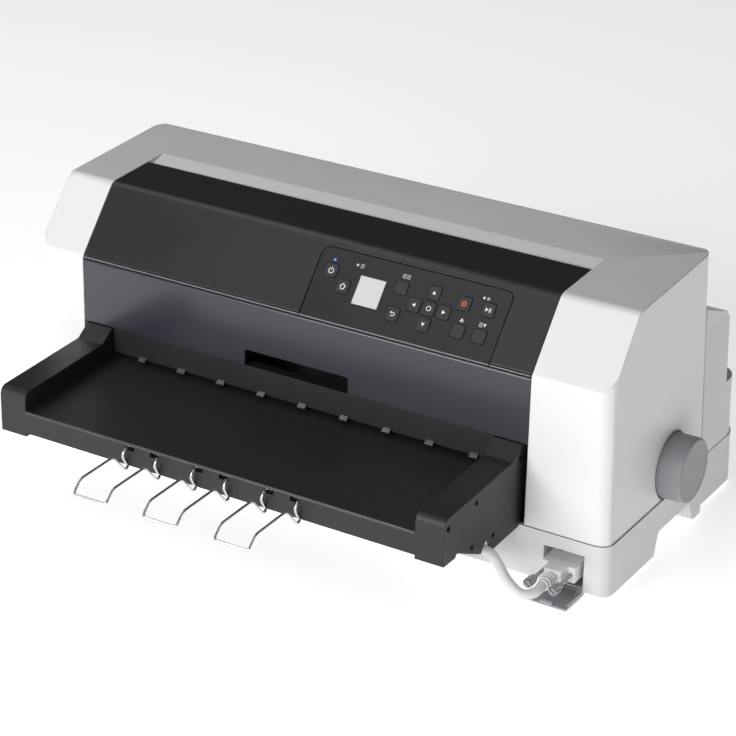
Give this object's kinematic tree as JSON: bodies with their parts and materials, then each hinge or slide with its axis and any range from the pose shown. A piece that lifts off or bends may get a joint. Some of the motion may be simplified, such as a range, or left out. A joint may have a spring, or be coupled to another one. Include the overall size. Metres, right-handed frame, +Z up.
{
  "type": "dot matrix printer",
  "caption": "Wide flatbed dot matrix printer with hinged covers, a front paper table with wire supports, a feed knob, a control panel and an interface cable.",
  "frame": {"origin": "middle of the footprint of the printer with its table and wire supports, on the surface it stands on", "axes": "+X along the width towards the feed knob, +Y towards the rear, +Z up"},
  "size_m": [0.6847, 0.6655, 0.2678],
  "materials": {
    "white_shell": "fine satin moulding",
    "grey_shell": "fine satin moulding",
    "black_cover": "fine grain moulding",
    "smoke_panel": "smoked gloss",
    "black_table": "fine grain moulding",
    "panel_black": "satin film",
    "button_black": "satin",
    "screen_grey": "unlit reflective screen",
    "lamp_lens": "light guide",
    "knob_grey": "satin",
    "sheet_steel": "zinc plated sheet",
    "ground_steel": "ground",
    "nickel_wire": "nickel plated wire",
    "screw_zinc": "zinc plated",
    "motor_grey": "satin",
    "pulley_alloy": "machined",
    "roller_rubber": "ground rubber",
    "natural_plastic": "natural moulding",
    "belt_rubber": "ribbed",
    "carriage_black": "satin",
    "board_green": "solder mask",
    "socket_grey": "plated shell on dark plastic",
    "inlet_black": "satin",
    "flap_grey": "satin moulding",
    "cable_grey": "smooth sheath",
    "plug_grey": "soft moulded hood",
    "foot_rubber": "plain"
  },
  "bodies": {
    "case": {"lower_case": "grey_shell", "upper_case": "white_shell", "rear_housing": "grey_shell", "chassis": "sheet_steel", "paper_bed": "black_table", "entry_guide": "black_table", "platen_bar": "sheet_steel", "guide_shaft": "ground_steel", "guide_rail": "sheet_steel", "main_board": "board_green", "power_supply": "sheet_steel", "interface_socket": "socket_grey", "mains_inlet": "inlet_black", "feed_motor": "motor_grey", "carriage_motor": "motor_grey", "timing_belt": "belt_rubber", "control_panel": "panel_black", "panel_board": "board_green", "display": "screen_grey", "panel_lamps": "lamp_lens", "front_table": "black_table", "feet": "foot_rubber", "case_screws": "screw_zinc", "plug": "plug_grey", "thumbscrews": "screw_zinc", "cable": "cable_grey", "cable_coil": "cable_grey", "far_plug": "plug_grey"},
    "printer_cover": {"printer_cover": "black_cover"},
    "front_cover": {"front_cover": "smoke_panel"},
    "feed_knob": {"feed_knob": "knob_grey"},
    "front_feed_roller": {"front_feed_roller": "roller_rubber"},
    "rear_feed_roller": {"rear_feed_roller": "roller_rubber"},
    "front_pinch_roller": {"front_pinch_roller": "natural_plastic"},
    "rear_pinch_roller": {"rear_pinch_roller": "natural_plastic"},
    "motor_pinion": {"motor_pinion": "natural_plastic"},
    "carriage": {"carriage": "carriage_black", "print_head": "pulley_alloy", "ribbon_cartridge": "carriage_black"},
    "ribbon_knob": {"ribbon_knob": "carriage_black"},
    "motor_pulley": {"motor_pulley": "pulley_alloy"},
    "idler_pulley": {"idler_pulley": "natural_plastic"},
    "interface_flap": {"interface_flap": "flap_grey"},
    "button_power": {"button_power": "button_black"},
    "button_home": {"button_home": "button_black"},
    "button_source": {"button_source": "button_black"},
    "button_back": {"button_back": "button_black"},
    "button_up": {"button_up": "button_black"},
    "button_left": {"button_left": "button_black"},
    "button_ok": {"button_ok": "button_black"},
    "button_right": {"button_right": "button_black"},
    "button_down": {"button_down": "button_black"},
    "button_cancel": {"button_cancel": "button_black"},
    "button_load": {"button_load": "button_black"},
    "button_pause": {"button_pause": "button_black"},
    "button_feed": {"button_feed": "button_black"},
    "support_left": {"support_left": "nickel_wire"},
    "support_middle": {"support_middle": "nickel_wire"},
    "support_right": {"support_right": "nickel_wire"}
  },
  "joints": [
    {"name": "cover_hinge", "type": "hinge", "parent": "case", "child": "printer_cover", "pos_m": [-0.02302, 0.0674, 0.25833], "axis": [-1, 0, 0], "range_deg": [0, 75]},
    {"name": "front_cover_hinge", "type": "hinge", "parent": "case", "child": "front_cover", "pos_m": [-0.02302, -0.0356, 0.1954], "axis": [-1, 0, 0], "range_deg": [0, 85]},
    {"name": "knob_turn", "type": "hinge", "parent": "case", "child": "feed_knob", "pos_m": [0.30428, 0.0884, 0.0835], "axis": [1, 0, 0], "continuous": true},
    {"name": "front_roller_turn", "type": "hinge", "parent": "case", "child": "front_feed_roller", "pos_m": [-0.02302, 0.0504, 0.096], "axis": [1, 0, 0], "continuous": true},
    {"name": "rear_roller_turn", "type": "hinge", "parent": "case", "child": "rear_feed_roller", "pos_m": [-0.02302, 0.1264, 0.096], "axis": [1, 0, 0], "continuous": true},
    {"name": "front_pinch_turn", "type": "hinge", "parent": "case", "child": "front_pinch_roller", "pos_m": [-0.02302, 0.0504, 0.1113], "axis": [1, 0, 0], "continuous": true},
    {"name": "rear_pinch_turn", "type": "hinge", "parent": "case", "child": "rear_pinch_roller", "pos_m": [-0.02302, 0.1264, 0.1113], "axis": [1, 0, 0], "continuous": true},
    {"name": "pinion_turn", "type": "hinge", "parent": "case", "child": "motor_pinion", "pos_m": [0.19698, 0.0884, 0.056], "axis": [1, 0, 0], "continuous": true},
    {"name": "carriage_slide", "type": "slide", "parent": "case", "child": "carriage", "axis": [1, 0, 0], "range_m": [0, 0.33]},
    {"name": "ribbon_knob_turn", "type": "hinge", "parent": "carriage", "child": "ribbon_knob", "pos_m": [-0.14802, 0.0654, 0.16], "axis": [0, 0, 1], "continuous": true},
    {"name": "motor_pulley_turn", "type": "hinge", "parent": "case", "child": "motor_pulley", "pos_m": [-0.23102, 0.1334, 0.173], "axis": [0, 0, 1], "range_deg": [-10, 2393]},
    {"name": "idler_pulley_turn", "type": "hinge", "parent": "case", "child": "idler_pulley", "pos_m": [0.18498, 0.1334, 0.173], "axis": [0, 0, 1], "range_deg": [-10, 2393]},
    {"name": "button_power_press", "type": "slide", "parent": "case", "child": "button_power", "axis": [0, 0.7713, -0.6364], "range_m": [0, 0.001], "stiffness_N_per_m": 600, "springref_m": -0.0005},
    {"name": "button_home_press", "type": "slide", "parent": "case", "child": "button_home", "axis": [0, 0.7713, -0.6364], "range_m": [0, 0.001], "stiffness_N_per_m": 600, "springref_m": -0.0005},
    {"name": "button_source_press", "type": "slide", "parent": "case", "child": "button_source", "axis": [0, 0.7713, -0.6364], "range_m": [0, 0.001], "stiffness_N_per_m": 600, "springref_m": -0.0005},
    {"name": "button_back_press", "type": "slide", "parent": "case", "child": "button_back", "axis": [0, 0.7713, -0.6364], "range_m": [0, 0.001], "stiffness_N_per_m": 600, "springref_m": -0.0005},
    {"name": "button_up_press", "type": "slide", "parent": "case", "child": "button_up", "axis": [0, 0.7713, -0.6364], "range_m": [0, 0.001], "stiffness_N_per_m": 600, "springref_m": -0.0005},
    {"name": "button_left_press", "type": "slide", "parent": "case", "child": "button_left", "axis": [0, 0.7713, -0.6364], "range_m": [0, 0.001], "stiffness_N_per_m": 600, "springref_m": -0.0005},
    {"name": "button_ok_press", "type": "slide", "parent": "case", "child": "button_ok", "axis": [0, 0.7713, -0.6364], "range_m": [0, 0.001], "stiffness_N_per_m": 600, "springref_m": -0.0005},
    {"name": "button_right_press", "type": "slide", "parent": "case", "child": "button_right", "axis": [0, 0.7713, -0.6364], "range_m": [0, 0.001], "stiffness_N_per_m": 600, "springref_m": -0.0005},
    {"name": "button_down_press", "type": "slide", "parent": "case", "child": "button_down", "axis": [0, 0.7713, -0.6364], "range_m": [0, 0.001], "stiffness_N_per_m": 600, "springref_m": -0.0005},
    {"name": "button_cancel_press", "type": "slide", "parent": "case", "child": "button_cancel", "axis": [0, 0.7713, -0.6364], "range_m": [0, 0.001], "stiffness_N_per_m": 600, "springref_m": -0.0005},
    {"name": "button_load_press", "type": "slide", "parent": "case", "child": "button_load", "axis": [0, 0.7713, -0.6364], "range_m": [0, 0.001], "stiffness_N_per_m": 600, "springref_m": -0.0005},
    {"name": "button_pause_press", "type": "slide", "parent": "case", "child": "button_pause", "axis": [0, 0.7713, -0.6364], "range_m": [0, 0.001], "stiffness_N_per_m": 600, "springref_m": -0.0005},
    {"name": "button_feed_press", "type": "slide", "parent": "case", "child": "button_feed", "axis": [0, 0.7713, -0.6364], "range_m": [0, 0.001], "stiffness_N_per_m": 600, "springref_m": -0.0005},
    {"name": "support_left_hinge", "type": "hinge", "parent": "case", "child": "support_left", "pos_m": [-0.09902, -0.1722, 0.094], "axis": [-1, 0, 0], "range_deg": [0, 30]},
    {"name": "support_middle_hinge", "type": "hinge", "parent": "case", "child": "support_middle", "pos_m": [-0.02402, -0.1722, 0.094], "axis": [-1, 0, 0], "range_deg": [0, 30]},
    {"name": "support_right_hinge", "type": "hinge", "parent": "case", "child": "support_right", "pos_m": [0.05098, -0.1722, 0.094], "axis": [-1, 0, 0], "range_deg": [0, 30]},
    {"name": "flap_hinge", "type": "hinge", "parent": "case", "child": "interface_flap", "pos_m": [0.26048, -0.0336, 0.007], "axis": [-1, 0, 0], "range_deg": [0, 15]}
  ],
  "couplings": [
    {"joint": "front_roller_turn", "follows": "knob_turn", "ratio": -1},
    {"joint": "rear_roller_turn", "follows": "knob_turn", "ratio": -1},
    {"joint": "front_pinch_turn", "follows": "knob_turn", "ratio": 1.5},
    {"joint": "rear_pinch_turn", "follows": "knob_turn", "ratio": 1.5},
    {"joint": "pinion_turn", "follows": "knob_turn", "ratio": -2.6667},
    {"joint": "motor_pulley_turn", "follows": "carriage_slide", "rad_per_m": 125},
    {"joint": "idler_pulley_turn", "follows": "carriage_slide", "rad_per_m": 125}
  ]
}
